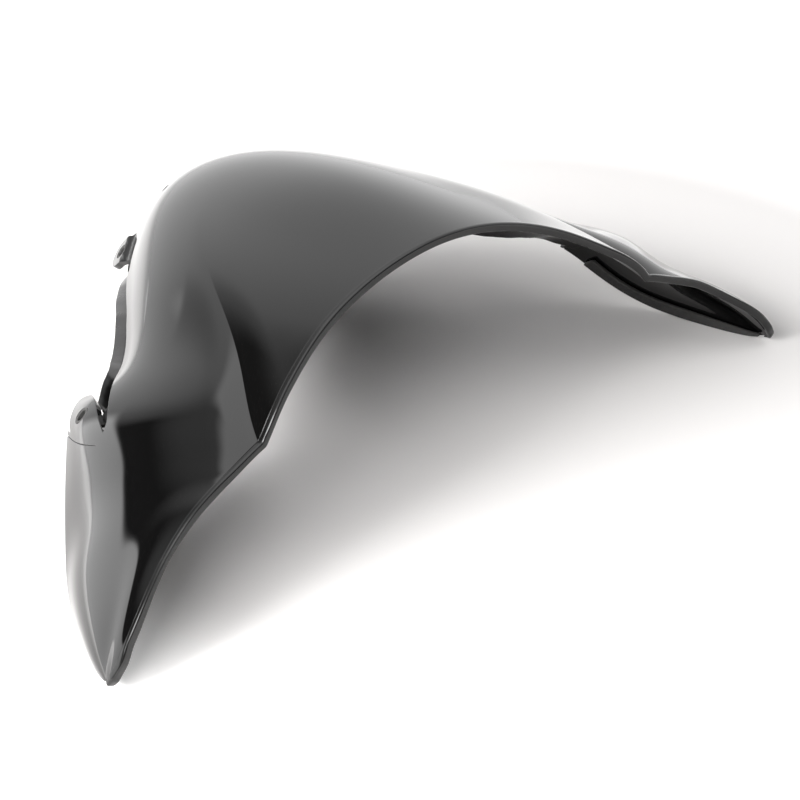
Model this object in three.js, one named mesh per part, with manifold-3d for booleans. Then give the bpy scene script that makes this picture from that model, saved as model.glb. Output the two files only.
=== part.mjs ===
// Motorcycle windshield screen: a smoked, one-piece double-bubble moulding with
// an edge bead, seals, mounting flanges and screw bushes. Millimetres, +Z up.
// +Y is the nose (the front of the motorcycle), -Y the rider's side, +X the rider's right.
// The screen lies on its wing edges and its nose, hollow side down, as on a bench.
// The sizes below are measured from the line through the wing tips; the last lines centre the screen.

import * as THREE from 'three';
import { mergeVertices } from 'three/addons/utils/BufferGeometryUtils.js';
import Module from 'manifold-3d';

const wasm = await Module();
wasm.setup();

// ---------------------------------------------------------------- driving dimensions

const WALL = 3.5;              // thickness of the moulding
const GAP = 0.3;               // clearance between touching pieces

// Half ribs, from the rear rim (first point) to the front or lower edge (last point).
// They run from the tip of the wing to the centre line; the other half is their mirror.
const TIP = [200, 0, 5];
const HALF_RIBS = [
  [TIP, TIP, TIP, TIP, TIP, TIP],
  [[190, 2, 18], [192.5, 4, 15.5], [194.5, 6, 12.5], [197, 7, 9], [199, 8, 5.5], [199, 9, 2]],
  [[169, 12, 34], [176, 15, 31], [182, 19, 25], [189, 22, 18], [194.5, 26.5, 9.5], [195, 29, 0]],
  [[148, 19, 46], [157, 28, 42.5], [165.5, 37, 36.5], [174, 46, 28], [182, 53.5, 16.5], [186, 58, 3]],
  [[131, 22, 53], [141.5, 36, 51], [152, 50, 47], [161, 64, 38], [167, 76, 27], [171, 86, 15]],
  [[118, 24, 61], [128.5, 42, 60], [140, 60, 58], [148.5, 78, 51.5], [153, 98, 43], [150, 119, 35]],
  [[100, 31, 71], [106.5, 55, 72], [113, 78, 69], [120, 98, 62], [125.5, 114.5, 52], [129, 130, 38]],
  [[76, 40, 84], [80.5, 80, 86.5], [85.5, 114.5, 82.5], [90, 143, 71], [93.5, 167, 51], [93, 185, 25]],
  [[43, 45, 97], [46, 98, 99], [48, 148, 97], [50, 198, 84], [53, 229, 56], [58, 245, 18]],
];
const CENTRE_RIB = [[0, 46, 104], [0, 100, 109], [0, 155, 107], [0, 216, 94], [0, 266, 60], [0, 293, 3]];

const STEP_RIB = 5;            // the rib that starts at the step in the rim
const CREASE_DEPTH = 5;        // how far the crease sinks below the smooth surface at the rim
const CREASE_HALF_WIDTH = 26;  // half of its width, measured along the rim
const CREASE_REACH = 0.45;     // how far it runs forward, as a share of the rib
const CREASE_SWEEP = 110;      // how fast it runs inward on its way forward
const CREASE_BEND = 150;       // and how much that grows

// The moulding's front edge, as [length along the rim, share of the rib]: the wing, the side ear
// and then the mounting line, which dips behind the ear.
const EDGE_SHARES = [
  [0, 1], [89, 1], [101, 0.96], [114, 1], [124, 0.81], [128, 0.83], [134, 0.84], [140, 0.83],
  [147, 0.8], [154, 0.78],
];

// Outlines on the outer face, as [share of the rib, length along the rim].
const SLIT = [[1.1, 102], [0.68, 99.2], [0.67, 99.6], [0.68, 100], [1.1, 103.2]];
const EAR_NOTCH = [
  [1.12, 103.1], [0.91, 102.1], [0.955, 104.5], [0.965, 108.5], [0.97, 112], [0.955, 115.3],
  [0.905, 116], [0.85, 114.6], [0.785, 112], [0.7, 106.5], [0.645, 102.5], [0.65, 107], [0.71, 114],
  [0.77, 120], [0.82, 126], [1.12, 126],
];
const SIDE_HOLE_AT = [0.845, 107.8];
const HOLE_RADIUS = 4.2;

const NOSE_HOLE_AT = [0.665, 205];
const NOSE_HOLE_RADIUS = 3;

const FRONT_EAR_AT = [0.73, 183];
const FRONT_EAR_LENGTH = 25;
const FRONT_EAR_WIDTH = 17;
const FRONT_EAR_ROOT = 4;      // how far the ear reaches back into the moulding
const FRONT_EAR_LIFT = 0.155;  // the ear's tilt out of the moulding, in radians

const BUSH_WALL = 1.3;

const FLANGE_TOP = 0.7;        // the flange starts behind the moulding at this share of the rib
const FLANGE_SHARES = [
  [107, 0.74], [114, 0.77], [120, 0.82], [126, 0.87], [134, 0.89], [140, 0.875], [147, 0.85],
  [154, 0.83], [170, 0.84], [190, 0.93], [220, 1],
];
// How far the flange's edge stands proud of the moulding, as [length along the rim, height].
const FLANGE_FLARE = [[112, 0], [120, 2], [134, 3], [147, 3], [162, 2.5], [176, 0]];
const FLANGE_WALL = 2;
const FLANGE_GAP = 0.6;        // clearance under the moulding
const FLANGE_BEND = 0.015;     // share of the rib between the moulding's edge and the start of the flare

const SEAL_SHARES = [0.9, 0.98];
const SEAL_REACH = [12, 96];
const SEAL_WALL = 2;

// The edge bead's section: distance beyond the rim, then depth below the outer face.
const BEAD_SECTION = [
  [GAP, -0.2], [1.5, -0.2], [2.3, 0.4], [2.6, 1.3], [2.6, 2.7], [2.3, 3.5], [1.5, 3.9], [GAP, 3.9],
];

const CUT_HEIGHT = 30;         // height of the solids that cut the moulding

// ---------------------------------------------------------------- curves and surfaces

// A natural cubic spline through numbers at the given knots.
function spline(knots, values) {
  const last = knots.length - 1;
  const curvature = new Array(last + 1).fill(0);
  const carry = new Array(last + 1).fill(0);
  for (let i = 1; i < last; i++) {
    const before = knots[i] - knots[i - 1];
    const after = knots[i + 1] - knots[i];
    const pull = 6 * ((values[i + 1] - values[i]) / after - (values[i] - values[i - 1]) / before);
    const pivot = 2 * (before + after) - before * carry[i - 1];
    carry[i] = after / pivot;
    curvature[i] = (pull - before * curvature[i - 1]) / pivot;
  }
  for (let i = last - 1; i > 0; i--) curvature[i] -= carry[i] * curvature[i + 1];
  return (t) => {
    let i = 0;
    while (i < last - 1 && t > knots[i + 1]) i++;
    const step = knots[i + 1] - knots[i];
    const a = (knots[i + 1] - t) / step;
    const b = (t - knots[i]) / step;
    const bend = (a ** 3 - a) * curvature[i] + (b ** 3 - b) * curvature[i + 1];
    return a * values[i] + b * values[i + 1] + bend * step * step / 6;
  };
}

function splineThrough(knots, points) {
  const parts = [0, 1, 2].map((axis) => spline(knots, points.map((p) => p[axis])));
  return (t) => parts.map((part) => part(t));
}

const mirrored = HALF_RIBS.map((rib) => rib.map(([x, y, z]) => [-x, y, z]));
const ribs = [...mirrored, CENTRE_RIB, ...HALF_RIBS.slice().reverse()];
const ALONG_KNOTS = CENTRE_RIB.map((point, i) => i / (CENTRE_RIB.length - 1));

// Knots across the screen follow the length of the rim between ribs.
const rimLengths = [0];
for (let i = 1; i < ribs.length; i++) {
  const chord = Math.hypot(...ribs[i][0].map((value, axis) => value - ribs[i - 1][0][axis]));
  rimLengths.push(rimLengths[i - 1] + chord);
}
const RIM_LENGTH = rimLengths[rimLengths.length - 1];
const ribCurves = ribs.map((rib) => splineThrough(ALONG_KNOTS, rib));
const STEP_AT = rimLengths[STEP_RIB];

// The smooth surface: u runs from the rim (0) to the front edge (1), s is the length along the rim.
const smoothRows = new Map();
function smoothRow(u) {
  if (!smoothRows.has(u)) smoothRows.set(u, splineThrough(rimLengths, ribCurves.map((rib) => rib(u))));
  return smoothRows.get(u);
}
function smoothPoint(u, s) {
  return new THREE.Vector3(...smoothRow(u)(s));
}

const DELTA = 1e-3;
function smoothNormal(u, s) {
  const side = Math.min(Math.max(s, 1), RIM_LENGTH - 1);
  const alongU = smoothPoint(u + DELTA, side).sub(smoothPoint(u - DELTA, side));
  const alongS = smoothPoint(u, side + 0.1).sub(smoothPoint(u, side - 0.1));
  return alongS.cross(alongU).normalize();
}

// The crease is a valley that starts at the step and runs forward and inward until it fades.
function creaseDepth(u, s) {
  const forward = Math.max(u, 0);
  const line = STEP_AT + CREASE_SWEEP * forward + CREASE_BEND * forward ** 2;
  const fromLine = Math.abs(Math.min(s, RIM_LENGTH - s) - line);
  const across = Math.max(0, 1 - fromLine / CREASE_HALF_WIDTH);
  const along = Math.max(0, 1 - forward / CREASE_REACH);
  return CREASE_DEPTH * across ** 2 * along ** 1.5;
}

// A point of the moulding, a depth below its outer face.
function skin(u, s, depth = 0) {
  return smoothPoint(u, s).addScaledVector(smoothNormal(u, s), -depth - creaseDepth(u, s));
}

// Axes on the outer face: x forward along the rib, z outward.
function faceFrame([u, s]) {
  const outward = smoothNormal(u, s);
  const forward = smoothPoint(u + DELTA, s).sub(smoothPoint(u - DELTA, s));
  forward.addScaledVector(outward, -forward.dot(outward)).normalize();
  const side = outward.clone().cross(forward);
  return new THREE.Matrix4().makeBasis(forward, side, outward).setPosition(skin(u, s));
}

// Turns a face frame outward about a line across it, a distance behind its origin.
function lifted(frame, behind, angle) {
  const turn = new THREE.Matrix4().makeRotationY(-angle).setPosition(-behind, 0, 0);
  return frame.clone().multiply(turn).multiply(new THREE.Matrix4().makeTranslation(behind, 0, 0));
}

// Reads a list of [length along the rim, share of the rib] from the nearer wing tip.
function shareAt(list, s) {
  const fromTip = Math.min(s, RIM_LENGTH - s);
  const i = list.findIndex(([length]) => length > fromTip);
  if (i < 0) return list[list.length - 1][1];
  if (i === 0) return list[0][1];
  const [[from, start], [to, end]] = [list[i - 1], list[i]];
  return start + (end - start) * (fromTip - from) / (to - from);
}

const edgeShare = (s) => shareAt(EDGE_SHARES, s);

// ---------------------------------------------------------------- meshes

function meshFrom(triangles) {
  const positions = [];
  for (const [a, b, c] of triangles) {
    if (a.distanceTo(b) < 1e-4 || b.distanceTo(c) < 1e-4 || c.distanceTo(a) < 1e-4) continue;
    positions.push(...a, ...b, ...c);
  }
  const geometry = new THREE.BufferGeometry();
  geometry.setAttribute('position', new THREE.Float32BufferAttribute(positions, 3));
  return mergeVertices(geometry, 1e-4);
}

// A closed skin around rings of points: every ring has the same number of points.
function loft(rings) {
  const triangles = [];
  const size = rings[0].length;
  for (let j = 0; j + 1 < rings.length; j++) {
    for (let i = 0; i < size; i++) {
      const k = (i + 1) % size;
      triangles.push([rings[j][i], rings[j][k], rings[j + 1][k]]);
      triangles.push([rings[j][i], rings[j + 1][k], rings[j + 1][i]]);
    }
  }
  triangles.push(...cap(rings[0], true), ...cap(rings[rings.length - 1], false));
  return meshFrom(triangles);
}

function cap(ring, facingBack) {
  const last = ring.length - 1;
  const triangles = [];
  for (let i = 0; i + 1 < ring.length / 2; i++) {
    const [a, b, c, d] = [ring[i], ring[i + 1], ring[last - 1 - i], ring[last - i]];
    triangles.push(...(facingBack ? [[a, c, b], [a, d, c]] : [[a, b, c], [a, c, d]]));
  }
  return triangles;
}

// A plate over shares us(s) of the ribs at lengths ss; top and bottom give its depths at (u, s).
function plate(us, ss, top, bottom) {
  return loft(ss.map((s) => {
    const shares = us(s);
    const outer = shares.map((u) => skin(u, s, top(u, s)));
    const inner = shares.map((u) => skin(u, s, bottom(u, s)));
    return [...inner, ...outer.reverse()];
  }));
}

function range(from, to, count) {
  return Array.from({ length: count + 1 }, (unused, i) => from + (to - from) * i / count);
}

function bothSides(lengths) {
  const other = lengths.map((s) => RIM_LENGTH - s).reverse();
  return [...lengths, ...other.slice(1)];
}

// ---------------------------------------------------------------- solids

function solid(geometry) {
  const plain = geometry.clone();
  plain.deleteAttribute('normal');
  plain.deleteAttribute('uv');
  const merged = mergeVertices(plain, 1e-4);
  return new wasm.Manifold(new wasm.Mesh({
    numProp: 3,
    vertProperties: new Float32Array(merged.attributes.position.array),
    triVerts: new Uint32Array(merged.index.array),
  }));
}

function geometryOf(manifold) {
  const mesh = manifold.getMesh();
  const geometry = new THREE.BufferGeometry();
  geometry.setAttribute('position', new THREE.BufferAttribute(mesh.vertProperties, 3));
  geometry.setIndex(new THREE.BufferAttribute(mesh.triVerts, 1));
  return geometry;
}

const mirror = (manifold) => manifold.mirror([1, 0, 0]);

// A prism through the moulding around an outline given on its outer face.
function cutter(outline, centre) {
  const frame = faceFrame(centre);
  const toFrame = frame.clone().invert();
  const corners = outline.map(([u, s]) => skin(u, s).applyMatrix4(toFrame));
  const shape = new THREE.Shape(corners.map((corner) => new THREE.Vector2(corner.x, corner.y)));
  const prism = new THREE.ExtrudeGeometry(shape, { depth: CUT_HEIGHT, bevelEnabled: false });
  prism.translate(0, 0, -CUT_HEIGHT / 2);
  return solid(prism.applyMatrix4(frame));
}

// Upright cylinders and rings stand on the face, z outward.
function drill(frame, x, radius = HOLE_RADIUS) {
  const pin = new THREE.CylinderGeometry(radius, radius, CUT_HEIGHT, 32).rotateX(Math.PI / 2);
  return solid(pin.translate(x, 0, 0).applyMatrix4(frame));
}

function bush(frame, x) {
  const outer = HOLE_RADIUS - GAP;
  const inner = outer - BUSH_WALL;
  const profile = [[inner, 0], [outer, 0], [outer, WALL], [inner, WALL], [inner, 0]];
  const ring = new THREE.LatheGeometry(profile.map(([r, h]) => new THREE.Vector2(r, h)), 32);
  ring.rotateX(Math.PI / 2);
  return solid(ring.translate(x, 0, -WALL).applyMatrix4(frame));
}

// ---------------------------------------------------------------- pieces

const screen = new THREE.Group();

function add(name, manifold, material) {
  const mesh = new THREE.Mesh(geometryOf(manifold), material);
  mesh.name = name;
  screen.add(mesh);
}

function addPair(name, manifold, material) {
  add(`${name}_left`, manifold, material);
  add(`${name}_right`, mirror(manifold), material);
}

const smokedAcrylic = new THREE.MeshStandardMaterial({ color: 0x151617, roughness: 0.05, metalness: 0 });
const glossBead = new THREE.MeshStandardMaterial({ color: 0x0b0b0c, roughness: 0.12, metalness: 0 });
const blackFlange = new THREE.MeshStandardMaterial({ color: 0x1c1c1b, roughness: 0.3, metalness: 0 });
const rubber = new THREE.MeshStandardMaterial({ color: 0x101010, roughness: 0.7, metalness: 0 });

const sideEarFrame = faceFrame(SIDE_HOLE_AT);
const frontEarFrame = lifted(faceFrame(FRONT_EAR_AT), FRONT_EAR_ROOT, FRONT_EAR_LIFT);
const FRONT_HOLE_X = FRONT_EAR_LENGTH - FRONT_EAR_WIDTH / 2;

// Facets are short around the ears and the step in the rim, and longer elsewhere.
const RIM_FACETS = bothSides([
  ...range(0, 90, 12),
  ...range(94, STEP_AT, 4),
  ...range(STEP_AT + 2, 126, 8),
  ...range(134, RIM_LENGTH / 2, 10),
]);

function mouldingBody() {
  return solid(plate((s) => range(0, edgeShare(s), 16), RIM_FACETS, () => 0, () => WALL));
}

function frontEar() {
  const reach = FRONT_EAR_LENGTH - FRONT_EAR_WIDTH / 2;
  const half = FRONT_EAR_WIDTH / 2;
  const shape = new THREE.Shape();
  shape.moveTo(-FRONT_EAR_ROOT, -half);
  shape.lineTo(reach, -half);
  shape.absarc(reach, 0, half, -Math.PI / 2, Math.PI / 2);
  shape.lineTo(-FRONT_EAR_ROOT, half);
  const tongue = new THREE.ExtrudeGeometry(shape, { depth: WALL, bevelEnabled: false, curveSegments: 12 });
  return solid(tongue.translate(0, 0, -WALL).applyMatrix4(frontEarFrame));
}

function moulding() {
  const cuts = [
    cutter(SLIT, SIDE_HOLE_AT),
    cutter(EAR_NOTCH, SIDE_HOLE_AT),
    drill(sideEarFrame, 0),
    drill(faceFrame(NOSE_HOLE_AT), 0, NOSE_HOLE_RADIUS),
  ];
  let body = mouldingBody();
  for (const cut of cuts) body = body.subtract(cut).subtract(mirror(cut));
  const ear = frontEar().subtract(drill(frontEarFrame, FRONT_HOLE_X));
  return body.add(ear).add(mirror(ear));
}

function edgeBead() {
  return solid(loft(RIM_FACETS.slice(1, -1).map((s) => BEAD_SECTION.map(([beyond, depth]) => {
    const outward = smoothNormal(0, s);
    const forward = smoothPoint(DELTA, s).sub(smoothPoint(0, s));
    forward.addScaledVector(outward, -forward.dot(outward)).normalize();
    return skin(0, s, depth).addScaledVector(forward, -beyond);
  }))));
}

// The flange runs under the moulding as far as its edge, and then flares out past it.
function flange() {
  const start = FLANGE_SHARES[0][0];
  const lengths = RIM_FACETS.filter((s) => s > start && s < RIM_LENGTH - start);
  const shares = (s) => {
    const end = shareAt(FLANGE_SHARES, s);
    const bend = Math.min(edgeShare(s) + FLANGE_BEND, end - FLANGE_BEND);
    return [...range(FLANGE_TOP, bend, 5), ...range(bend, end, 3).slice(1)];
  };
  const hidden = WALL + FLANGE_GAP;
  const depthOf = (u, s) => {
    const [bend, end] = [shares(s)[5], shares(s)[8]];
    const rise = Math.max(0, (u - bend) / (end - bend));
    const flare = shareAt(FLANGE_FLARE, s);
    return flare > 0 ? hidden - (hidden + flare) * rise : hidden;
  };
  return solid(plate(shares, lengths, depthOf, (u, s) => depthOf(u, s) + FLANGE_WALL));
}

function wingSeal() {
  const top = WALL + GAP;
  const shares = (s) => range(SEAL_SHARES[0] * edgeShare(s), SEAL_SHARES[1] * edgeShare(s), 3);
  return solid(plate(shares, range(...SEAL_REACH, 24), () => top, () => top + SEAL_WALL));
}

add('screen_moulding', moulding(), smokedAcrylic);
add('rim_edge_bead', edgeBead(), glossBead);
add('mounting_flange', flange(), blackFlange);
addPair('wing_seal', wingSeal(), rubber);
addPair('side_ear_bush', bush(sideEarFrame, 0), rubber);
addPair('front_ear_bush', bush(frontEarFrame, FRONT_HOLE_X), rubber);

// The origin is the middle of the box around the screen, at the height of the bench.
const box = new THREE.Box3().setFromObject(screen);
const middle = box.getCenter(new THREE.Vector3());
screen.position.set(-middle.x, -middle.y, -box.min.z);

export default screen;
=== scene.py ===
"""A motorcycle windshield screen: a smoked double-bubble moulding with its edge bead, mounting
flange, wing seals and screw bushes. +Z is up, +Y points to the nose and +X to the rider's right.
The screen lies on its wing edges and its nose, hollow side down, as on a bench.

The surface is worked out in millimetres, from the same ribs as the CAD model, and is put into the
frame in metres. u runs from the rear rim (0) to the front or lower edge (1) as a share of a rib,
and s is the length along the rim from the left wing's tip."""

import math

import bpy
import numpy as np
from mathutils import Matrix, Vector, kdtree
from mathutils.geometry import delaunay_2d_cdt


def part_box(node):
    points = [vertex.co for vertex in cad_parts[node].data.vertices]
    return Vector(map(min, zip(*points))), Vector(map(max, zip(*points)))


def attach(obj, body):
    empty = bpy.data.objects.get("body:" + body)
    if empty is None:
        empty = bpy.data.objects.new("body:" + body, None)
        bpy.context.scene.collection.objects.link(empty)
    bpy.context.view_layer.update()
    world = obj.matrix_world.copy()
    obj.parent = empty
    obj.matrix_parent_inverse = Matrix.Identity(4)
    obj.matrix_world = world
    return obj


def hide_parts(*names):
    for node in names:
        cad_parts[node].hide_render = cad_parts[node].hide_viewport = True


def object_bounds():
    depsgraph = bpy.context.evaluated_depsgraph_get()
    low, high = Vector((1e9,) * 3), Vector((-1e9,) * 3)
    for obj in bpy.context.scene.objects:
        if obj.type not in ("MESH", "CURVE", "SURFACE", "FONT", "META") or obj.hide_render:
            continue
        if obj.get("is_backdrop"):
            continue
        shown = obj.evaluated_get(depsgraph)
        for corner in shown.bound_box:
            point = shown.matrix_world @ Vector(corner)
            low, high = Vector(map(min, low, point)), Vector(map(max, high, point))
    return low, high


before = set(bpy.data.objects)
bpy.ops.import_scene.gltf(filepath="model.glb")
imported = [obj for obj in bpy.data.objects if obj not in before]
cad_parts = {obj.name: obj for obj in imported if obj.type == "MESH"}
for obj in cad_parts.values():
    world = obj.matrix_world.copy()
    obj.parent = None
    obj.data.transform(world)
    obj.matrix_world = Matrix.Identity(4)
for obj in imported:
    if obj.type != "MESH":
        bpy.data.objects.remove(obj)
cad_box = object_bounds()

MM = 0.001

# ---------------------------------------------------------------- sizes of the moulding

WALL = 3.5
TIP = [200, 0, 5]
HALF_RIBS = [
    [TIP, TIP, TIP, TIP, TIP, TIP],
    [[190, 2, 18], [192.5, 4, 15.5], [194.5, 6, 12.5], [197, 7, 9], [199, 8, 5.5], [199, 9, 2]],
    [[169, 12, 34], [176, 15, 31], [182, 19, 25], [189, 22, 18], [194.5, 26.5, 9.5], [195, 29, 0]],
    [[148, 19, 46], [157, 28, 42.5], [165.5, 37, 36.5], [174, 46, 28], [182, 53.5, 16.5], [186, 58, 3]],
    [[131, 22, 53], [141.5, 36, 51], [152, 50, 47], [161, 64, 38], [167, 76, 27], [171, 86, 15]],
    [[118, 24, 61], [128.5, 42, 60], [140, 60, 58], [148.5, 78, 51.5], [153, 98, 43], [150, 119, 35]],
    [[100, 31, 71], [106.5, 55, 72], [113, 78, 69], [120, 98, 62], [125.5, 114.5, 52], [129, 130, 38]],
    [[76, 40, 84], [80.5, 80, 86.5], [85.5, 114.5, 82.5], [90, 143, 71], [93.5, 167, 51], [93, 185, 25]],
    [[43, 45, 97], [46, 98, 99], [48, 148, 97], [50, 198, 84], [53, 229, 56], [58, 245, 18]],
]
CENTRE_RIB = [[0, 46, 104], [0, 100, 109], [0, 155, 107], [0, 216, 94], [0, 266, 60], [0, 293, 3]]

STEP_RIB = 5
CREASE_DEPTH = 5
CREASE_HALF_WIDTH = 26
CREASE_REACH = 0.45
CREASE_SWEEP = 110
CREASE_BEND = 150

EDGE_SHARES = [
    [0, 1], [89, 1], [101, 0.96], [114, 1], [124, 0.81], [128, 0.83], [134, 0.84], [140, 0.83],
    [147, 0.8], [154, 0.78],
]
EDGE_BLEND = 3                 # length over which the edge's line turns from one share to the next

# Outlines on the outer face, as [share of the rib, length along the rim].
SLIT = [[1.1, 102.3], [0.68, 99.4], [0.67, 99.6], [0.68, 99.8], [1.1, 102.8]]
EAR_NOTCH = [
    [1.12, 103.1], [0.91, 102.1], [0.955, 104.5], [0.965, 108.5], [0.97, 112], [0.955, 115.3],
    [0.905, 116], [0.85, 114.6], [0.785, 112], [0.7, 106.5], [0.645, 102.5], [0.65, 107], [0.71, 114],
    [0.77, 120], [0.82, 126], [1.12, 126],
]
NOTCH_ROOT = 10                # the point of the notch between the ear and the moulding's edge
SIDE_HOLE_AT = (0.845, 107.8)
HOLE_RADIUS = 4.2
NOSE_HOLE_AT = (0.665, 205)
NOSE_HOLE_RADIUS = 3

FRONT_EAR_AT = (0.73, 183)
FRONT_EAR_LENGTH = 25
FRONT_EAR_WIDTH = 17
FRONT_EAR_ROOT = 4
FRONT_EAR_LIFT = 0.155
FRONT_HOLE_X = FRONT_EAR_LENGTH - FRONT_EAR_WIDTH / 2
EAR_BLEND = (8, 14)            # the ear leaves the moulding's surface between these lengths
EAR_BLEND_SIDE = 4             # width beside the ear over which the surface rises to meet it

EDGE_ROUND = 0.35              # radius of the moulding's polished edges
TIP_CUT = 4.0                  # length of the wing's point that its rounded end leaves out
TIP_ROUND = 5                  # length over which the wing's end is rounded
TIP_BLUNT = 0.02               # share of that length at which the moulding's end is cut blunt
LARGEST_INSET = 0.3            # most of a rib that its rounded edge may take, near the tips

FACE_STEP = 2.0                # size of the surface's facets along the rim
RIB_STEPS = 130                # facets along a whole rib
CLEAR_OF_LINES = 0.9           # how far the facets' own corners keep from every outline
OUTLINE_STEP = 1.0
HOLE_STEPS = 40
SLIT_STEPS = 30
EAR_END_STEPS = 26
CREASE_STEPS = 60
CREASE_START = 0.006           # share of the rib at which the crease's line starts, just off the rim
CREASE_NEAR = 0.02             # corners this close to the crease's line lie on it
CREASE_INSET = 0.3             # how far into its own triangle such a corner takes its normal
DIRECTION_FROM_TIP = 1
SAME_POINT = 0.000001

# ---------------------------------------------------------------- sizes of the other pieces

# The edge bead's four corners, as (beyond the rim, below the outer face, radius, where its arc starts).
BEAD_CORNERS = [
    (2.55, -0.2, 1.1, 0), (0.05, -0.2, 0.15, 90), (0.05, 3.9, 0.4, 180), (2.55, 3.9, 1.1, 270),
]
BEAD_WRAP = 4.5                # how far the bead's ends come back along the front edge
BEAD_TAPER = 5.0               # length over which they close
BEAD_STEP = 1.5                # distance between the bead's rings
BEAD_END_STEPS = 14            # rings round a wing tip, closer together towards its point
BEAD_END_START = 0.14          # square root of the first ring's place in the tip's rounding
BEAD_END_SIZE = 0.02           # square of the closed end's size beside the whole section

# Points of the CAD bead's section that set its box, as distances beyond the rim and depths,
# and how much of the rim is compared with it.
CAD_BEAD_BEYOND = [0.3, 1.5, 2.6]
CAD_BEAD_DEPTH = [-0.2, -0.2, 1.3]
COMPARED_FROM_TIP = 8
COMPARED_STEPS = 300

FLANGE_TOP = 0.7
FLANGE_SHARES = [
    [107, 0.74], [114, 0.77], [120, 0.82], [126, 0.87], [134, 0.89], [140, 0.875], [147, 0.85],
    [154, 0.83], [170, 0.84], [190, 0.93], [220, 1],
]
FLANGE_FLARE = [[112, 0], [120, 2], [134, 3], [147, 3], [162, 2.5], [176, 0]]
FLANGE_WALL = 2
FLANGE_GAP = 0.6
FLANGE_BEND = 0.015
FLANGE_ROUND = 0.5
FLANGE_STEPS = (190, 34)       # lines of points along the rim and across

SEAL_SHARES = (0.9, 0.98)
SEAL_REACH = (12, 96)
SEAL_WALL = 2
SEAL_GAP = 0.3
SEAL_ROUND = 0.8
SEAL_STEPS = (70, 10)

BUSH_GAP = 0.3
BUSH_WALL = 1.3
BUSH_INSET = 0.2               # how far the bush stays back from each face
BUSH_ROUND = 0.35
BUSH_STEPS = 48

# ---------------------------------------------------------------- curves and the surface


def unit(vectors):
    return vectors / np.linalg.norm(vectors, axis=-1, keepdims=True)


def ramp(value, start, end):
    """Goes smoothly from 0 at start to 1 at end."""
    t = np.clip((value - start) / (end - start), 0, 1)
    return t * t * (3 - 2 * t)


def natural_spline(knots):
    """A natural cubic spline as weights on the values at its knots, or on them for its slope."""
    last = len(knots) - 1
    steps = np.diff(knots)
    system = np.eye(last + 1)
    jumps = np.zeros((last + 1, last + 1))
    for i in range(1, last):
        before, after = steps[i - 1], steps[i]
        system[i, i - 1:i + 2] = before, 2 * (before + after), after
        jumps[i, i - 1:i + 2] = 6 / before, -6 / before - 6 / after, 6 / after
    curvature = np.linalg.solve(system, jumps)

    def weights(t, slope=False):
        i = np.clip(np.searchsorted(knots, t) - 1, 0, last - 1)
        step = steps[i]
        a = (knots[i + 1] - t) / step
        b = 1 - a
        rows = np.arange(len(t))
        result = np.zeros((len(t), last + 1))
        if slope:
            result[rows, i] = -1 / step
            result[rows, i + 1] = 1 / step
            bend_a = (1 - 3 * a ** 2) * step / 6
            bend_b = (3 * b ** 2 - 1) * step / 6
        else:
            result[rows, i] = a
            result[rows, i + 1] = b
            bend_a = (a ** 3 - a) * step ** 2 / 6
            bend_b = (b ** 3 - b) * step ** 2 / 6
        return result + bend_a[:, None] * curvature[i] + bend_b[:, None] * curvature[i + 1]

    return weights


HALF = np.array(HALF_RIBS, dtype=float)
RIBS = np.concatenate([HALF * [-1, 1, 1], [CENTRE_RIB], HALF[::-1]])
RIM_CHORDS = np.linalg.norm(np.diff(RIBS[:, 0], axis=0), axis=1)
RIM_KNOTS = np.concatenate([[0], np.cumsum(RIM_CHORDS)])
RIM_LENGTH = RIM_KNOTS[-1]
STEP_AT = RIM_KNOTS[STEP_RIB]
ACROSS = natural_spline(RIM_KNOTS)
ALONG = natural_spline(np.linspace(0, 1, len(CENTRE_RIB)))


def smooth_point(u, s, slope_u=False, slope_s=False):
    return np.einsum("ni,nj,ijk->nk", ACROSS(s, slope_s), ALONG(u, slope_u), RIBS)


def off_tip(s):
    """The ribs shrink to a point at the tips, so directions are taken a little way in."""
    return np.clip(s, DIRECTION_FROM_TIP, RIM_LENGTH - DIRECTION_FROM_TIP)


def smooth_normal(u, s):
    near_s = off_tip(s)
    along_s = smooth_point(u, near_s, slope_s=True)
    along_u = smooth_point(u, near_s, slope_u=True)
    return unit(np.cross(along_s, along_u))


def from_tip(s):
    """Length along the rim from the nearer wing tip."""
    return np.minimum(s, RIM_LENGTH - s)


def crease_line(u):
    forward = np.maximum(u, 0)
    return STEP_AT + CREASE_SWEEP * forward + CREASE_BEND * forward ** 2


def crease_depth(u, s):
    """The crease is a valley that starts at the step and runs forward and inward until it fades."""
    across = np.maximum(0, 1 - np.abs(from_tip(s) - crease_line(u)) / CREASE_HALF_WIDTH)
    along = np.maximum(0, 1 - np.maximum(u, 0) / CREASE_REACH)
    return CREASE_DEPTH * across ** 2 * along ** 1.5


def skin(u, s, depth=0.0):
    """Points of the moulding's surface, a depth below its outer face."""
    sunk = depth + crease_depth(u, s)
    return smooth_point(u, s) - smooth_normal(u, s) * sunk[:, None]


def rib_length(s):
    """Length of the rib at s, as a sum of short chords."""
    steps = np.linspace(0, 1, 9)
    points = np.array([smooth_point(np.full(len(s), share), s) for share in steps])
    return np.linalg.norm(np.diff(points, axis=0), axis=2).sum(axis=0)


def share_at(table, s):
    lengths, shares = np.array(table, dtype=float).T
    return np.interp(from_tip(s), lengths, shares)


def edge_share(s):
    nearby = np.linspace(-EDGE_BLEND, EDGE_BLEND, 7)
    return np.mean([share_at(EDGE_SHARES, np.clip(s + d, 0, RIM_LENGTH)) for d in nearby], axis=0)


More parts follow.
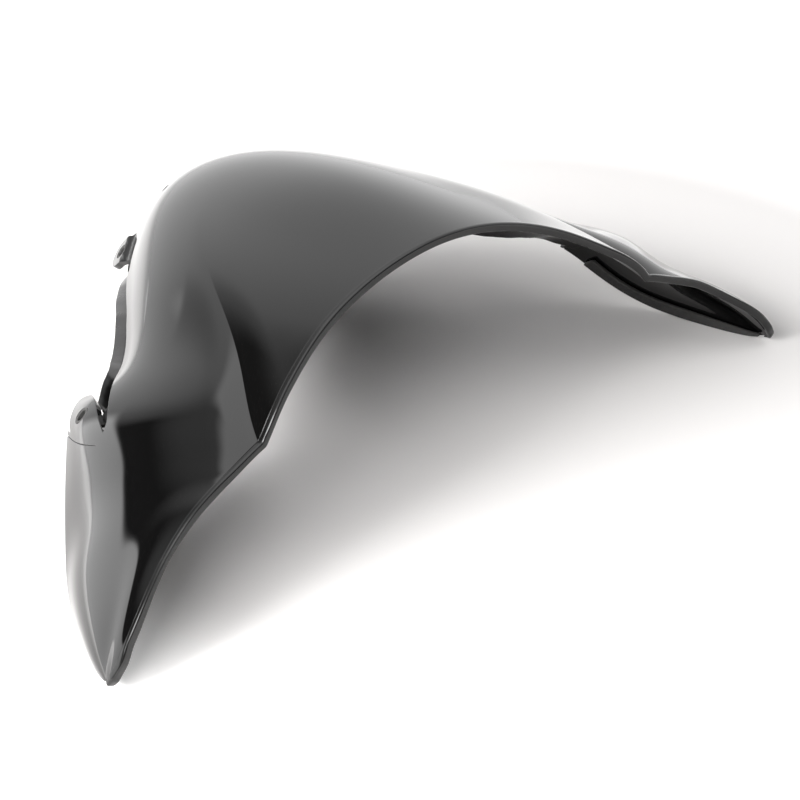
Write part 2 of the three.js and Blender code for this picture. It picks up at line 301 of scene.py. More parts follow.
class FaceFrame:
    """Axes on the outer face at (u, s): x forward along the rib, z outward, y across."""

    def __init__(self, at):
        self.at = np.array(at, dtype=float)
        u, s = self.at[:1], self.at[1:]
        along_u = smooth_point(u, s, slope_u=True)[0]
        along_s = smooth_point(u, s, slope_s=True)[0]
        outward = smooth_normal(u, s)[0]
        forward = unit(along_u - outward * along_u.dot(outward))
        self.axes = np.array([forward, np.cross(outward, forward), outward])
        self.origin = skin(u, s)[0]
        self.stretch = self.axes[:2] @ np.array([along_u, along_s]).T

    def shares(self, x, y):
        """(u, s) of points given by their x and y in the frame."""
        return self.at + np.linalg.solve(self.stretch, np.array([x, y])).T

    def local(self, u, s):
        """x and y of points given by (u, s)."""
        return self.stretch @ np.array([u - self.at[0], s - self.at[1]])

    def place(self, x, y, z):
        return self.origin + np.stack([x, y, z], axis=-1) @ self.axes

    def place_lifted(self, x, y, z, behind, angle):
        """The same, turned outward about a line across the frame, a distance behind its origin."""
        ahead = x + behind
        turned = ahead * math.cos(angle) - z * math.sin(angle) - behind
        return self.place(turned, y, ahead * math.sin(angle) + z * math.cos(angle))


SIDE_EAR = FaceFrame(SIDE_HOLE_AT)
FRONT_EAR = FaceFrame(FRONT_EAR_AT)
NOSE_HOLE = FaceFrame(NOSE_HOLE_AT)


def front_ear_point(x, y, z):
    return FRONT_EAR.place_lifted(x, y, z, FRONT_EAR_ROOT, FRONT_EAR_LIFT)


def moulding_point(u, s, depth=0.0):
    """The moulding's surface, with the front ears bent up out of it."""
    near_s = from_tip(s)
    points = skin(u, near_s, depth)
    x, y = FRONT_EAR.local(u, near_s)
    beside = np.abs(y) - FRONT_EAR_WIDTH / 2
    rise = ramp(x, *EAR_BLEND) * (1 - ramp(beside, 0, EAR_BLEND_SIDE))
    flat = front_ear_point(x, y, np.broadcast_to(-depth, x.shape))
    points += (flat - points) * rise[:, None]
    points[s > RIM_LENGTH / 2, 0] *= -1
    return points


def surface_normal(point, u, s, depth=0.0):
    """The outward normal of a surface given as a function of (u, s, depth)."""
    du, ds = 0.0004, 0.08
    near_s = off_tip(s)
    along_u = point(u + du, near_s, depth) - point(u - du, near_s, depth)
    along_s = point(u, near_s + ds, depth) - point(u, near_s - ds, depth)
    return unit(np.cross(along_s, along_u))


# ---------------------------------------------------------------- meshes

SHIFT = np.zeros(3)            # from the surface's own millimetres to the frame, set below


def new_object(name, points, faces, normals=None):
    """A mesh object from points in millimetres; normals, if given, has one for each corner."""
    mesh = bpy.data.meshes.new(name)
    mesh.from_pydata((np.asarray(points) * MM + SHIFT).tolist(), [], faces)
    mesh.validate()
    mesh.shade_smooth()
    if normals is not None:
        mesh.normals_split_custom_set(normals.tolist())
    piece = bpy.data.objects.new(name, mesh)
    bpy.context.scene.collection.objects.link(piece)
    return piece


def edge_section(wall, radius, steps=4):
    """A rounded edge as (outward, depth, normal outward, normal up), from face to face."""
    rows = []
    for start, centre in ((0, radius), (90, wall - radius)):
        for angle in np.radians(np.linspace(start, start + 90, steps + 1)):
            out, up = math.sin(angle), math.cos(angle)
            rows.append((radius * out, centre - radius * up, out, up))
    return rows


def boundary_links(triangles):
    """Each boundary point's next one, with the sheet on the left."""
    edges = np.concatenate([triangles[:, [0, 1]], triangles[:, [1, 2]], triangles[:, [2, 0]]])
    directed = {(int(a), int(b)) for a, b in edges}
    return {a: b for a, b in directed if (b, a) not in directed}


def sheet(name, u, s, triangles, point, wall, radius, crease=False):
    """A closed plate with rounded edges, over triangles of (u, s) on a surface."""
    count = len(u)
    outer, inner = point(u, s, 0.0), point(u, s, wall)
    up = surface_normal(point, u, s)
    down = -surface_normal(point, u, s, wall)
    following = boundary_links(triangles)
    here = np.array(list(following.keys()))
    after = np.array([following[a] for a in here])
    before_of = {b: a for a, b in following.items()}
    before = np.array([before_of[a] for a in here])
    rim_up = up[here]
    outward = unit(np.cross(outer[after] - outer[before], rim_up))

    # The sheet's own normals point along its wall at the edge, so the rounding starts smoothly.
    place_of = {a: i for i, a in enumerate(here)}
    follower = np.array([place_of[b] for b in after])
    section = edge_section(wall, radius)
    points = [outer, inner]
    ring_starts, ring_normals = [], []
    start = 2 * count
    for out, depth, normal_out, normal_up in section[1:-1]:
        points.append(outer[here] + (inner - outer)[here] * (depth / wall) + outward * out)
        ring_normals.append(unit(outward * normal_out + rim_up * normal_up))
        ring_starts.append(start + np.arange(len(here)))
        start += len(here)
    rings = [here, *ring_starts, here + count]
    normals_of = [rim_up, *ring_normals, down[here]]

    faces = triangles.tolist() + (triangles[:, ::-1] + count).tolist()
    corner_normals = [up[triangles.ravel()], down[triangles[:, ::-1].ravel()]]
    if crease:
        corner_normals = crease_normals(point, u, s, triangles, wall, corner_normals)
    for near, far, normal_near, normal_far in zip(rings, rings[1:], normals_of, normals_of[1:]):
        quads = np.stack([near[follower], near, far, far[follower]], axis=1)
        faces += quads.tolist()
        corners = [normal_near[follower], normal_near, normal_far, normal_far[follower]]
        corner_normals.append(np.stack(corners, axis=1).reshape(-1, 3))
    return new_object(name, np.concatenate(points), faces, np.concatenate(corner_normals))


def crease_normals(point, u, s, triangles, wall, corner_normals):
    """Corners on the crease's line take their normal from just inside their own triangle."""
    on_line = (np.abs(from_tip(s) - crease_line(u)) < CREASE_NEAR) & (u < CREASE_REACH)
    for k, (corners, depth, sign) in enumerate(((triangles, 0.0, 1), (triangles[:, ::-1], wall, -1))):
        flat = corners.ravel()
        middle = np.repeat(corners, 3, axis=0)
        chosen = on_line[flat]
        mean_u = u[middle[chosen]].mean(axis=1)
        mean_s = s[middle[chosen]].mean(axis=1)
        inside_u = u[flat[chosen]] * (1 - CREASE_INSET) + mean_u * CREASE_INSET
        inside_s = s[flat[chosen]] * (1 - CREASE_INSET) + mean_s * CREASE_INSET
        corner_normals[k] = corner_normals[k].copy()
        corner_normals[k][chosen] = sign * surface_normal(point, inside_u, inside_s, depth)
    return corner_normals


def grid_triangles(rows, columns):
    index = np.arange(rows * columns).reshape(rows, columns)
    a, b, c, d = index[:-1, :-1], index[1:, :-1], index[1:, 1:], index[:-1, 1:]
    split = np.stack([a, b, c, a, c, d], axis=-1)
    return split.reshape(-1, 3)


def inside(polygon, points):
    """Which points lie inside a closed polygon."""
    x, y = points.T
    result = np.zeros(len(points), dtype=bool)
    for (x0, y0), (x1, y1) in zip(polygon, np.roll(polygon, -1, axis=0)):
        if y0 == y1:
            continue
        crosses = (y0 > y) != (y1 > y)
        result ^= crosses & (x < x0 + (x1 - x0) * (y - y0) / (y1 - y0))
    return result


# ---------------------------------------------------------------- outlines of the moulding

RIB_SCALE = 220.0              # makes u about as long as s in the plane of the outlines


def flat_plane(u, s):
    """(u, s) as points of the plane in which the outlines are triangulated."""
    return np.stack([s, np.asarray(u) * RIB_SCALE], axis=-1)


def smooth_line(corners, steps=8):
    """A curve through points given as [u, s], from the first to the last."""
    corners = np.array(corners, dtype=float)
    guided = np.concatenate([[2 * corners[0] - corners[1]], corners, [2 * corners[-1] - corners[-2]]])
    line = []
    for p0, p1, p2, p3 in zip(guided, guided[1:], guided[2:], guided[3:]):
        for t in np.arange(steps) / steps:
            blend = (2 * p1 + (p2 - p0) * t + (2 * p0 - 5 * p1 + 4 * p2 - p3) * t ** 2
                     + (3 * p1 - p0 - 3 * p2 + p3) * t ** 3)
            line.append(blend / 2)
    return np.array([*line, corners[-1]])


def notch_loop():
    """The gap around the side ear: its two ends lie beyond the front edge."""
    tip = NOTCH_ROOT
    around_ear = smooth_line(EAR_NOTCH[1:tip + 1])
    along_edge = smooth_line(EAR_NOTCH[tip:-1])
    return np.concatenate([EAR_NOTCH[:1], around_ear, along_edge[1:], EAR_NOTCH[-1:]])


def slit_loop():
    corners = np.array(SLIT)
    sides = np.linspace(0, 1, SLIT_STEPS)[:, None]
    lower = corners[0] + (corners[1] - corners[0]) * sides
    upper = corners[3] + (corners[4] - corners[3]) * sides
    return np.concatenate([lower, corners[2:3], upper])


def circle_loop(face_frame, radius, x=0.0):
    angle = np.linspace(0, 2 * math.pi, HOLE_STEPS, endpoint=False)
    return face_frame.shares(x + radius * np.cos(angle), radius * np.sin(angle))


def ear_loop():
    """The front ear's tongue, from its root to its round end."""
    half = FRONT_EAR_WIDTH / 2
    sides = np.arange(-FRONT_EAR_ROOT, FRONT_HOLE_X, OUTLINE_STEP)
    turn = np.linspace(-math.pi / 2, math.pi / 2, EAR_END_STEPS)
    x = np.concatenate([sides, FRONT_HOLE_X + half * np.cos(turn), sides[::-1]])
    y = np.concatenate([np.full(len(sides), -half), half * np.sin(turn), np.full(len(sides), half)])
    return FRONT_EAR.shares(x, y)


def tip_opening(s, least=0.0):
    """How far the wing's rounded end has opened at s: 0 at its point, 1 where the rounding ends."""
    from_end = np.clip((from_tip(s) - TIP_CUT) / TIP_ROUND, least, 1)
    return np.sqrt(1 - (1 - from_end) ** 2)


def main_loop():
    """The rim and the front edge, drawn in by the radius of the rounded edge, with rounded tips."""
    s = np.arange(TIP_CUT, RIM_LENGTH - TIP_CUT, OUTLINE_STEP)
    s = np.append(s, RIM_LENGTH - TIP_CUT)
    inset = np.minimum(EDGE_ROUND / rib_length(s), LARGEST_INSET)
    opening = tip_opening(s, TIP_BLUNT)
    middle = edge_share(s) / 2
    rim = np.stack([middle - (middle - inset) * opening, s], axis=1)
    front = np.stack([middle + (middle - inset) * opening, s], axis=1)
    return np.concatenate([rim, front[::-1]])


def mirrored_loop(loop):
    return np.stack([loop[:, 0], RIM_LENGTH - loop[:, 1]], axis=1)


def crease_points():
    u = np.linspace(CREASE_START, CREASE_REACH, CREASE_STEPS)
    return np.stack([u, crease_line(u)], axis=1)


def moulding_triangles():
    """(u, s) points and triangles over the moulding, with its ears, slits, notches and holes."""
    ears = [ear_loop()]
    cuts = [
        slit_loop(),
        notch_loop(),
        circle_loop(SIDE_EAR, HOLE_RADIUS),
        circle_loop(FRONT_EAR, HOLE_RADIUS, FRONT_HOLE_X),
        circle_loop(NOSE_HOLE, NOSE_HOLE_RADIUS),
    ]
    ears += [mirrored_loop(loop) for loop in ears]
    cuts += [mirrored_loop(loop) for loop in cuts]
    loops = [main_loop(), *ears, *cuts]
    creases = [crease_points(), mirrored_loop(crease_points())]

    points, edges = [], []
    for k, line in enumerate(loops + creases):
        start = len(points)
        points += flat_plane(line[:, 0], line[:, 1]).tolist()
        edges += [(start + i, start + i + 1) for i in range(len(line) - 1)]
        if k < len(loops):
            edges.append((start + len(line) - 1, start))

    tree = kdtree.KDTree(len(points))
    for i, (x, y) in enumerate(points):
        tree.insert((x, y, 0), i)
    tree.balance()
    columns = np.linspace(TIP_CUT, RIM_LENGTH - TIP_CUT, int(RIM_LENGTH / FACE_STEP))
    rows = np.linspace(0, 1, RIB_STEPS + 1)
    for x, y in flat_plane(*(axis.ravel() for axis in np.meshgrid(rows, columns))):
        if tree.find((x, y, 0))[2] > CLEAR_OF_LINES:
            points.append([x, y])

    vertices, _, faces, *_ = delaunay_2d_cdt(points, edges, [], 0, SAME_POINT, False)
    plane = np.array([[v.x, v.y] for v in vertices])
    triangles = np.array([face for face in faces if len(face) == 3])
    middles = plane[triangles].mean(axis=1)
    kept = np.zeros(len(triangles), dtype=bool)
    for loop in loops[:1 + len(ears)]:
        kept |= inside(flat_plane(loop[:, 0], loop[:, 1]), middles)
    for loop in cuts:
        kept &= ~inside(flat_plane(loop[:, 0], loop[:, 1]), middles)
    triangles = triangles[kept]
    used, triangles = np.unique(triangles, return_inverse=True)
    triangles = triangles.reshape(-1, 3)
    return plane[used, 1] / RIB_SCALE, plane[used, 0], triangles


# ---------------------------------------------------------------- pieces


def rib_axes(u, s):
    """The surface's outward normal, and the direction back along the rib."""
    up = smooth_normal(u, s)
    slope = smooth_point(u, off_tip(s), slope_u=True)
    return up, -unit(slope - up * np.sum(slope * up, axis=1, keepdims=True))


def bead_rings(base, up, outward, beyond, depth):
    """Rings of points at distances beyond each base point and below it."""
    return base[:, None] + outward[:, None] * beyond[..., None] - up[:, None] * depth[..., None]


def bead_section(steps=6):
    """The bead's outline as (beyond the rim, below the outer face)."""
    outline = []
    for (beyond, depth, radius, start), side, level in zip(BEAD_CORNERS, (-1, 1, 1, -1), (1, 1, -1, -1)):
        for angle in np.radians(np.linspace(start, start + 90, steps)):
            across = beyond + side * radius + radius * math.cos(angle)
            outline.append((across, depth + level * radius - radius * math.sin(angle)))
    return np.array(outline[::-1])


def bead_path():
    """(u, s) along the rim and round both wing tips, and which of the points lie on the rim."""
    near = TIP_CUT + TIP_ROUND * np.linspace(BEAD_END_START, 1, BEAD_END_STEPS) ** 2
    half = np.concatenate([near, np.arange(near[-1] + BEAD_STEP, RIM_LENGTH / 2, BEAD_STEP)])
    opening = tip_opening(half)
    middle = edge_share(half) / 2
    wrapped = np.nonzero(half < TIP_CUT + BEAD_WRAP)[0][::-1]
    u = np.concatenate([(middle * (1 + opening))[wrapped], middle * (1 - opening)])
    s = np.concatenate([half[wrapped], half])
    on_rim = np.arange(len(s)) >= len(wrapped)
    both_s = np.concatenate([s, RIM_LENGTH - s[::-1]])
    return np.concatenate([u, u[::-1]]), both_s, np.concatenate([on_rim, on_rim[::-1]])


def edge_bead():
    """The bead stands square to the rim's line round the tips, and along the ribs elsewhere."""
    u, s, on_rim = bead_path()
    base = skin(u, s)
    up, back = rib_axes(u, s)
    around = unit(np.cross(unit(np.gradient(base, axis=0)), up))
    along_rib = (ramp(from_tip(s), TIP_CUT + TIP_ROUND / 2, TIP_CUT + 2 * TIP_ROUND) * on_rim)[:, None]
    outward = unit(around * (1 - along_rib) + back * along_rib)

    section = bead_section()
    middle = section.mean(axis=0)
    steps = np.linalg.norm(np.diff(base, axis=0), axis=1)
    length = np.concatenate([[0], np.cumsum(steps)])
    from_end = np.minimum(length, length[-1] - length)
    swell = np.sqrt(np.clip(from_end / BEAD_TAPER, BEAD_END_SIZE, 1))[:, None]
    beyond = middle[0] + (section[:, 0] - middle[0]) * swell
    depth = middle[1] + (section[:, 1] - middle[1]) * swell
    rings = bead_rings(base, up, outward, beyond, depth)
    size = len(section)
    faces = []
    for j in range(len(s) - 1):
        for i in range(size):
            k = (i + 1) % size
            faces.append([j * size + k, j * size + i, (j + 1) * size + i, (j + 1) * size + k])
    faces.append(list(range(size)))
    faces.append([(len(s) - 1) * size + i for i in reversed(range(size))])
    return new_object("edge_bead_trim", rings.reshape(-1, 3), faces)


def moulding():
    u, s, triangles = moulding_triangles()
    return sheet("moulding_shell", u, s, triangles, moulding_point, WALL, EDGE_ROUND, crease=True)


def flange_depth(u, s):
    end = share_at(FLANGE_SHARES, s)
    bend = np.minimum(edge_share(s) + FLANGE_BEND, end - FLANGE_BEND)
    rise = np.maximum(0, (u - bend) / (end - bend))
    flare = share_at(FLANGE_FLARE, s)
    hidden = WALL + FLANGE_GAP
    return np.where(flare > 0, hidden - (hidden + flare) * rise, hidden)


def flange_point(u, s, depth=0.0):
    return skin(u, s, depth + flange_depth(u, s))


def seal_point(u, s, depth=0.0):
    return skin(u, s, depth + WALL + SEAL_GAP)


def strip(name, lengths, u, point, wall, radius):
    """A plate over rows of points: u has one row for each length along the rim."""
    s = np.repeat(lengths[:, None], u.shape[1], axis=1)
    return sheet(name, u.ravel(), s.ravel(), grid_triangles(*u.shape), point, wall, radius)


def flange():
    start = FLANGE_SHARES[0][0]
    lengths = np.linspace(start, RIM_LENGTH - start, FLANGE_STEPS[0])
    end = share_at(FLANGE_SHARES, lengths)
    u = FLANGE_TOP + (end - FLANGE_TOP)[:, None] * np.linspace(0, 1, FLANGE_STEPS[1])
    return strip("flange_shell", lengths, u, flange_point, FLANGE_WALL, FLANGE_ROUND)


def wing_seal(side):
    lengths = np.linspace(*SEAL_REACH, SEAL_STEPS[0])
    if side == "right":
        lengths = RIM_LENGTH - lengths[::-1]
    u = edge_share(lengths)[:, None] * np.linspace(*SEAL_SHARES, SEAL_STEPS[1])
    return strip(f"wing_seal_strip_{side}", lengths, u, seal_point, SEAL_WALL, SEAL_ROUND)


def bush(name, place, side):
    """A rubber ring just inside its hole; place puts (x, y, z) of the hole in the frame."""
    outer = HOLE_RADIUS - BUSH_GAP
    bore = outer - BUSH_WALL
    low = -WALL + BUSH_INSET
    section = []
    corners = ((outer, -BUSH_INSET, 0), (bore, -BUSH_INSET, 90), (bore, low, 180), (outer, low, 270))
    for corner_r, corner_z, start in corners:
        centre_r = corner_r - math.copysign(BUSH_ROUND, corner_r - (bore + outer) / 2)
        centre_z = corner_z - math.copysign(BUSH_ROUND, corner_z + WALL / 2)
        for angle in np.radians(np.linspace(start, start + 90, 4)):
            radius = centre_r + BUSH_ROUND * math.cos(angle)
            section.append((radius, centre_z + BUSH_ROUND * math.sin(angle)))
    turn = np.linspace(0, 2 * math.pi, BUSH_STEPS, endpoint=False)
    points = []
    for radius, height in section:
        points.append(place(radius * np.cos(turn), radius * np.sin(turn), np.full(len(turn), height)))
    rings = np.array(points)
    if side == "right":
        rings = rings * [-1, 1, 1]
    count, size = rings.shape[:2]
    faces = []
    for j in range(count):
        for i in range(size):
            k = (i + 1) % size
            a, b = j, (j + 1) % count
            quad = [a * size + i, a * size + k, b * size + k, b * size + i]
            faces.append(quad if side == "right" else quad[::-1])
    return new_object(name, rings.reshape(-1, 3), faces)


# ---------------------------------------------------------------- materials

NOISE_LOW = 0.3                # most of the noise's values lie between these
NOISE_HIGH = 0.7


def new_material(name, colour, roughness, ior=1.49):
    material = bpy.data.materials.new(name)
    material.use_nodes = True
    shader = material.node_tree.nodes["Principled BSDF"]
    shader.inputs["Base Color"].default_value = (*colour, 1)
    shader.inputs["Roughness"].default_value = roughness
    shader.inputs["IOR"].default_value = ior
    return material, shader


def add_node(material, kind, **settings):
    node = material.node_tree.nodes.new(kind)
    for key, value in settings.items():
        if key in node.inputs:
            node.inputs[key].default_value = value
        else:
            setattr(node, key, value)
    return node


def noise(material, scale, detail=3.0):
    """Noise in the object's own metres."""
    coordinates = add_node(material, "ShaderNodeTexCoord")
    texture = add_node(material, "ShaderNodeTexNoise", Scale=scale, Detail=detail)
    material.node_tree.links.new(coordinates.outputs["Object"], texture.inputs["Vector"])
    return texture.outputs["Fac"]


def vary(material, value, socket, low, high):
    """Drives a socket between low and high with a noise value."""
    spread = add_node(material, "ShaderNodeMapRange")
    spread.inputs["From Min"].default_value = NOISE_LOW
    spread.inputs["From Max"].default_value = NOISE_HIGH
    spread.inputs["To Min"].default_value = low
    spread.inputs["To Max"].default_value = high
    links = material.node_tree.links
    links.new(value, spread.inputs["Value"])
    links.new(spread.outputs["Result"], socket)


def vary_colour(material, value, shader, dark, light):
    mix = add_node(material, "ShaderNodeMix", data_type="RGBA")
    mix.inputs[6].default_value = (*dark, 1)
    mix.inputs[7].default_value = (*light, 1)
    links = material.node_tree.links
    links.new(value, mix.inputs[0])
    links.new(mix.outputs[2], shader.inputs["Base Color"])


def add_bump(material, value, shader, height):
    bump = add_node(material, "ShaderNodeBump", Strength=1.0, Distance=height)
    links = material.node_tree.links
    links.new(value, bump.inputs["Height"])
    links.new(bump.outputs["Normal"], shader.inputs["Normal"])


def smoked_acrylic():
    material, shader = new_material("smoked_acrylic_look", (0.0015, 0.0015, 0.0016), 0.05)
    vary_colour(material, noise(material, 9), shader, (0.0012, 0.0012, 0.0013), (0.0022, 0.0021, 0.002))
    vary(material, noise(material, 35), shader.inputs["Roughness"], 0.035, 0.065)
    return material


def gloss_bead():
    material, shader = new_material("gloss_bead_look", (0.004, 0.004, 0.004), 0.12)
    vary_colour(material, noise(material, 60), shader, (0.003, 0.003, 0.003), (0.007, 0.007, 0.007))
    vary(material, noise(material, 120), shader.inputs["Roughness"], 0.09, 0.16)
    shader.inputs["Specular IOR Level"].default_value = 0.4
    return material


def black_flange():
    material, shader = new_material("black_flange_look", (0.01, 0.01, 0.01), 0.3)
    vary_colour(material, noise(material, 40), shader, (0.008, 0.008, 0.008), (0.014, 0.013, 0.013))
    vary(material, noise(material, 150), shader.inputs["Roughness"], 0.26, 0.38)
    add_bump(material, noise(material, 900, 2), shader, 0.00004)
    return material


def black_rubber():
    material, shader = new_material("black_rubber_look", (0.012, 0.012, 0.012), 0.6, 1.5)
    vary_colour(material, noise(material, 200), shader, (0.009, 0.009, 0.009), (0.02, 0.019, 0.018))
    vary(material, noise(material, 400), shader.inputs["Roughness"], 0.5, 0.72)
    add_bump(material, noise(material, 1500, 4), shader, 0.00006)
    return material


GLOW_CENTRE = (0.1, -0.02, 0)
GLOW_RING = (0.26, 0.4, 1.0)   # the floor's glow, painted light, rises between these distances, to this strength
GLOW_SIDE = (-0.24, -0.36, 1.5)    # and between these x: a painted pool of light on the key light's side


def glow_ramp(material, value, start, end, strength):
    ramp_node = add_node(material, "ShaderNodeMapRange", interpolation_type="SMOOTHSTEP")
    ramp_node.inputs["From Min"].default_value = start
    ramp_node.inputs["From Max"].default_value = end
    ramp_node.inputs["To Max"].default_value = strength
    material.node_tree.links.new(value, ramp_node.inputs["Value"])
    return ramp_node.outputs["Result"]


def pale_floor_painted_glow():
    """A pale floor with painted light: it glows away from the screen, running into a lit background."""
    material, shader = new_material("pale_floor_painted_glow_look", (0.9, 0.9, 0.9), 0.6, 1.4)
    vary_colour(material, noise(material, 3), shader, (0.89, 0.87, 0.86), (0.91, 0.89, 0.88))
    coordinates = add_node(material, "ShaderNodeTexCoord")
    distance = add_node(material, "ShaderNodeVectorMath", operation="DISTANCE")
    distance.inputs[1].default_value = GLOW_CENTRE
    parts = add_node(material, "ShaderNodeSeparateXYZ")
    both = add_node(material, "ShaderNodeMath", operation="ADD")
    links = material.node_tree.links
    links.new(coordinates.outputs["Object"], distance.inputs[0])
    links.new(coordinates.outputs["Object"], parts.inputs[0])
    links.new(glow_ramp(material, distance.outputs["Value"], *GLOW_RING), both.inputs[0])
    links.new(glow_ramp(material, parts.outputs["X"], *GLOW_SIDE), both.inputs[1])
    # The floor's emission is painted light, brighter away from the screen and on the key light's side.
    links.new(both.outputs[0], shader.inputs["Emission Strength"])
    shader.inputs["Emission Color"].default_value = (1, 1, 1, 1)
    return material


# ---------------------------------------------------------------- the stage

FLOOR_REACH = 8.0
CAMERA_AT = (-0.3133, -0.4298, 0.2927)
CAMERA_DOWN = 30.85            # degrees below the horizon
CAMERA_TURN = -40.84           # degrees from +Y, anticlockwise from above
CAMERA_LENS = 51.75
SENSOR_WIDTH = 36
CAMERA_REACH = 50


def stage_floor():
    mesh = bpy.data.meshes.new("studio_floor")
    corners = [(x * FLOOR_REACH, y * FLOOR_REACH, 0) for x, y in ((-1, -1), (1, -1), (1, 1), (-1, 1))]
    mesh.from_pydata(corners, [], [(0, 1, 2, 3)])
    floor = bpy.data.objects.new("studio_floor", mesh)
    bpy.context.scene.collection.objects.link(floor)
    floor.data.materials.append(pale_floor_painted_glow())
    floor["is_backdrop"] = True


def add_camera():
    data = bpy.data.cameras.new("camera")
    data.lens = CAMERA_LENS
    data.sensor_width = SENSOR_WIDTH
    data.clip_end = CAMERA_REACH
    camera = bpy.data.objects.new("camera", data)
    camera.location = CAMERA_AT
    camera.rotation_euler = (math.radians(90 - CAMERA_DOWN), 0, math.radians(CAMERA_TURN))
    bpy.context.scene.collection.objects.link(camera)
    bpy.context.scene.camera = camera


def softbox(name, azimuth, elevation, distance, width, height, radiance):
    """A rectangular light that faces the screen; azimuth turns from +Y towards +X."""
    data = bpy.data.lights.new(name, "AREA")
    data.shape = "RECTANGLE"
    data.size = width
    data.size_y = height
    data.energy = radiance * width * height * math.pi
    light = bpy.data.objects.new(name, data)
    bpy.context.scene.collection.objects.link(light)
    a, e = math.radians(azimuth), math.radians(elevation)
    reach = distance * math.cos(e)
    light.location = (reach * math.sin(a), reach * math.cos(a), distance * math.sin(e))
    light.rotation_euler = (math.radians(90 - elevation), 0, math.radians(180 - azimuth))
    light.visible_glossy = False


class WorldNodes:
    """Builds the studio's brightness from the direction, as azimuth and elevation in degrees."""

    def __init__(self, tree):
        self.tree = tree
        coordinates = tree.nodes.new("ShaderNodeTexCoord")
        parts = tree.nodes.new("ShaderNodeSeparateXYZ")
        tree.links.new(coordinates.outputs["Generated"], parts.inputs[0])
        x, y, z = parts.outputs
        self.azimuth = self.math("DEGREES", self.math("ARCTAN2", x, y))
        self.elevation = self.math("DEGREES", self.math("ARCSINE", z))

    def feed(self, sockets, values):
        """Sets each socket to its number, or links it to its value."""
        for socket, value in zip(sockets, values):
            if isinstance(value, (int, float)):
                socket.default_value = value
            else:
                self.tree.links.new(value, socket)

    def math(self, operation, *values):
        node = self.tree.nodes.new("ShaderNodeMath")
        node.operation = operation
        self.feed(node.inputs, values)
        return node.outputs[0]

    def rise(self, value, start, end):
        """Goes smoothly from 0 at start to 1 at end."""
        node = self.tree.nodes.new("ShaderNodeMapRange")
        node.interpolation_type = "SMOOTHSTEP"
        node.inputs["From Min"].default_value = start
        node.inputs["From Max"].default_value = end
        self.tree.links.new(value, node.inputs["Value"])
        return node.outputs["Result"]

    def patch(self, azimuths=None, elevations=None):
        """1 inside a patch of the surroundings; each range is (outside, inside, inside, outside)."""
        mask = 1.0
        for value, limits in ((self.azimuth, azimuths), (self.elevation, elevations)):
            if limits:
                mask = self.math("MULTIPLY", mask, self.rise(value, limits[0], limits[1]))
                mask = self.math("MULTIPLY", mask, self.rise(value, limits[3], limits[2]))
        return mask

    def paint(self, level, brightness, mask):
        """Changes the level to a brightness where the mask is 1."""
        node = self.tree.nodes.new("ShaderNodeMix")
        self.feed((node.inputs[0], node.inputs[2], node.inputs[3]), (mask, level, brightness))
        return node.outputs[0]


# What the glossy faces mirror, painted in this order over a level of 1: brightness, then the
# azimuths and elevations of the patch as (outside, inside, inside, outside).
STUDIO_PATCHES = [
    (1.5, (-30, 20, 181, 182), None),                          # the far and right walls
    (2.4, (-182, -181, -60, -50), None),                       # the left wall
    (2.6, None, (56, 66, 91, 92)),                             # the ceiling
    (3.3, (-130, -110, -16, -8), (-92, -91, 18, 21)),          # the bright foot of the left wall
    (0.6, (-110, -95, -18, -2), (19, 22, 66, 80)),             # the dim gap above it
    (0.05, (-110, -95, -24, -14), (19, 22, 40, 66)),           # its dark middle
    (0.4, (-182, -181, -125, -95), (-92, -91, 35, 60)),        # the dim room behind the camera
    (0.4, (110, 150, 181, 182), (-92, -91, 35, 60)),
    (18, (-176, -164, -122, -108), (30, 38, 58, 66)),          # the lamp that lights the rim's edge
]
BACKDROP = 1.5                 # what the camera sees past the floor

# The lights of the floor and its shadow: name, azimuth, elevation, distance, width, height, radiance.
SOFTBOXES = [
    ("key_light", -80, 28, 1.2, 0.65, 0.3, 30),
    ("side_light", -88, 32, 1.2, 2.16, 0.5, 11),
    ("fill_light", 135, 50, 2.0, 1.8, 0.8, 2.0),
]


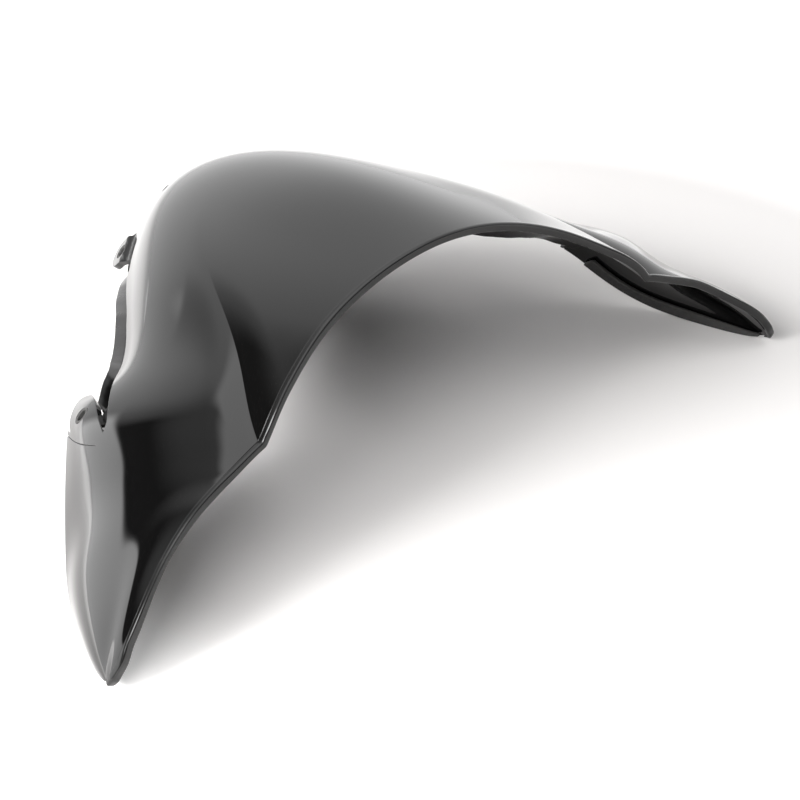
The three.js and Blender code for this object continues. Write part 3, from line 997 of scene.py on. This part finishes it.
def studio_world():
    world = bpy.data.worlds.new("studio")
    world.use_nodes = True
    bpy.context.scene.world = world
    nodes = WorldNodes(world.node_tree)
    level = 1.0
    for brightness, azimuths, elevations in STUDIO_PATCHES:
        level = nodes.paint(level, brightness, nodes.patch(azimuths, elevations))
    rays = world.node_tree.nodes.new("ShaderNodeLightPath")
    level = nodes.paint(level, BACKDROP, rays.outputs["Is Camera Ray"])
    background = world.node_tree.nodes["Background"]
    background.inputs["Color"].default_value = (1, 1, 1, 1)
    world.node_tree.links.new(level, background.inputs["Strength"])
    world.cycles_visibility.diffuse = False    # the floor's light comes from the softboxes and its own painted glow


def studio_light():
    studio_world()
    for settings in SOFTBOXES:
        softbox(*settings)
    bpy.context.scene.view_settings.view_transform = "Standard"


# ---------------------------------------------------------------- putting it together


def place_surface():
    """Both models share the bead's place beside the rim, so its box gives the shift to the frame."""
    s = np.linspace(COMPARED_FROM_TIP, RIM_LENGTH - COMPARED_FROM_TIP, COMPARED_STEPS)
    rim = np.zeros(len(s))
    up, back = rib_axes(rim, s)
    beyond = np.repeat([CAD_BEAD_BEYOND], len(s), axis=0)
    depth = np.repeat([CAD_BEAD_DEPTH], len(s), axis=0)
    points = bead_rings(skin(rim, s), up, back, beyond, depth).reshape(-1, 3)
    low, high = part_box("rim_edge_bead")
    SHIFT[1] = low.y - points[:, 1].min() * MM
    SHIFT[2] = high.z - points[:, 2].max() * MM


def in_front_ear(x, y, z):
    """A point beside the front ear's hole."""
    return front_ear_point(x + FRONT_HOLE_X, y, z)


def finish_piece(piece, node, material):
    piece.data.materials.clear()
    piece.data.materials.append(material)
    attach(piece, "root")
    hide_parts(node)


add_camera()
place_surface()
acrylic = smoked_acrylic()
rubber = black_rubber()
finish_piece(moulding(), "screen_moulding", acrylic)
finish_piece(edge_bead(), "rim_edge_bead", gloss_bead())
finish_piece(flange(), "mounting_flange", black_flange())
for side in ("left", "right"):
    finish_piece(wing_seal(side), f"wing_seal_{side}", rubber)
    side_bush = bush(f"side_bush_{side}", SIDE_EAR.place, side)
    finish_piece(side_bush, f"side_ear_bush_{side}", rubber)
    front_bush = bush(f"front_bush_{side}", in_front_ear, side)
    finish_piece(front_bush, f"front_ear_bush_{side}", rubber)
stage_floor()
studio_light()

boxes = {"cad": cad_box, "visual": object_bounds()}
{name: [list(corner) for corner in box] for name, box in boxes.items()}
